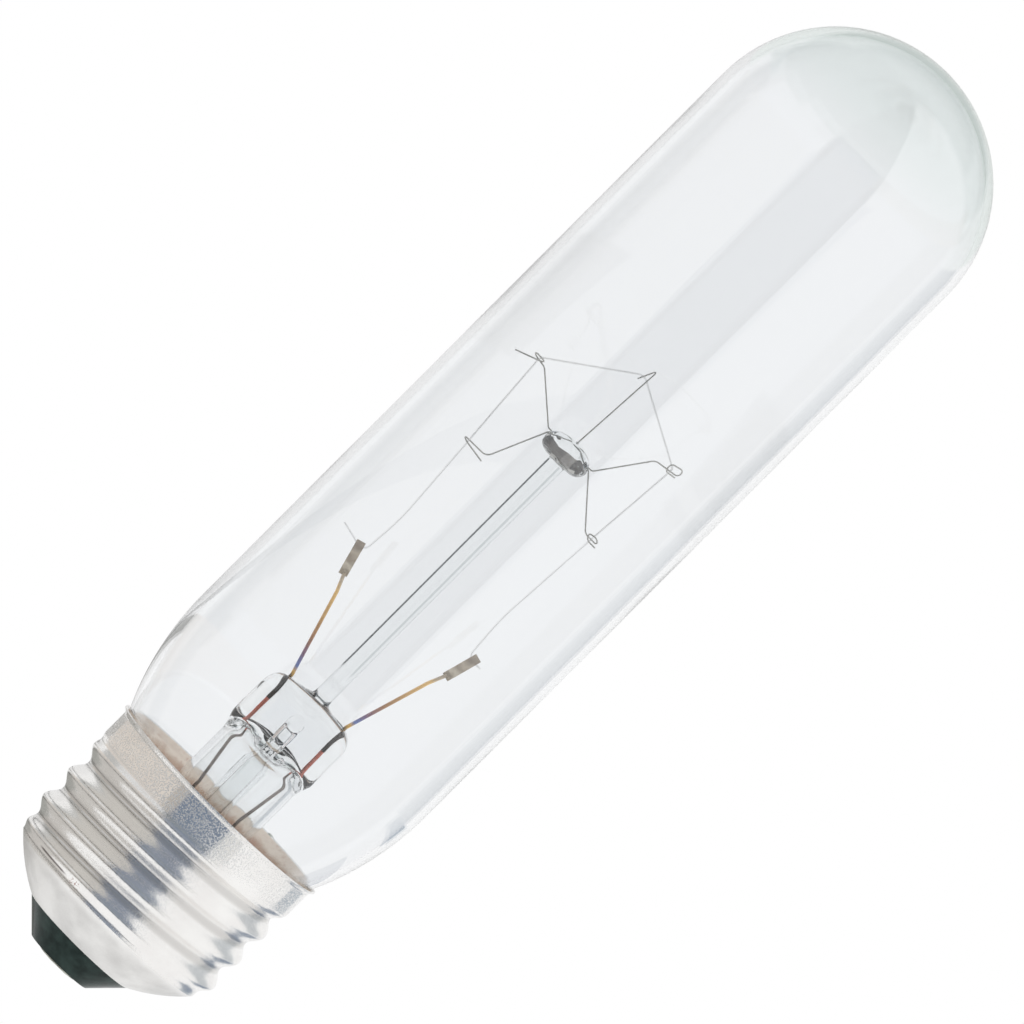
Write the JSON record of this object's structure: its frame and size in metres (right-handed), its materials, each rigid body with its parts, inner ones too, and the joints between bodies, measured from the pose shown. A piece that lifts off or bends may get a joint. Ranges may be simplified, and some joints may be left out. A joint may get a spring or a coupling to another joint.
{
  "type": "tubular light bulb",
  "caption": "Clear tubular filament lamp: straight glass tube with a round dome, a glass stem carrying leads, support wires and a looped filament, on an aluminium medium screw base.",
  "frame": {"origin": "bottom of the centre contact, on the lamp's axis", "axes": "+Z along the lamp's axis from the centre contact to the dome, X across the flat of the glass press"},
  "size_m": [0.0318, 0.0318, 0.127],
  "materials": {
    "clear_glass": "polished",
    "stem_glass": "polished",
    "black_glass": "glossy",
    "shell_aluminium": "bright rolled",
    "contact_brass": "satin",
    "solder": "dull",
    "cement": "matte",
    "tungsten": "satin",
    "support_metal": "satin",
    "lead_nickel": "satin, heat tinted",
    "seal_copper": "oxidised",
    "lead_copper": "dull"
  },
  "bodies": {
    "root": {"glass_envelope": "clear_glass", "stem_flare": "stem_glass", "exhaust_tube": "stem_glass", "arbor_rod": "stem_glass", "support_wire_1": "support_metal", "support_wire_2": "support_metal", "support_wire_3": "support_metal", "support_wire_4": "support_metal", "support_wire_5": "support_metal", "filament": "tungsten", "inner_lead_left": "lead_nickel", "inner_lead_right": "lead_nickel", "seal_wire_left": "seal_copper", "seal_wire_right": "seal_copper", "outer_lead_left": "lead_copper", "outer_lead_right": "lead_copper", "screw_shell": "shell_aluminium", "base_insulator": "black_glass", "centre_contact": "contact_brass", "contact_solder": "solder", "side_solder": "solder", "basing_cement": "cement"}
  },
  "joints": []
}
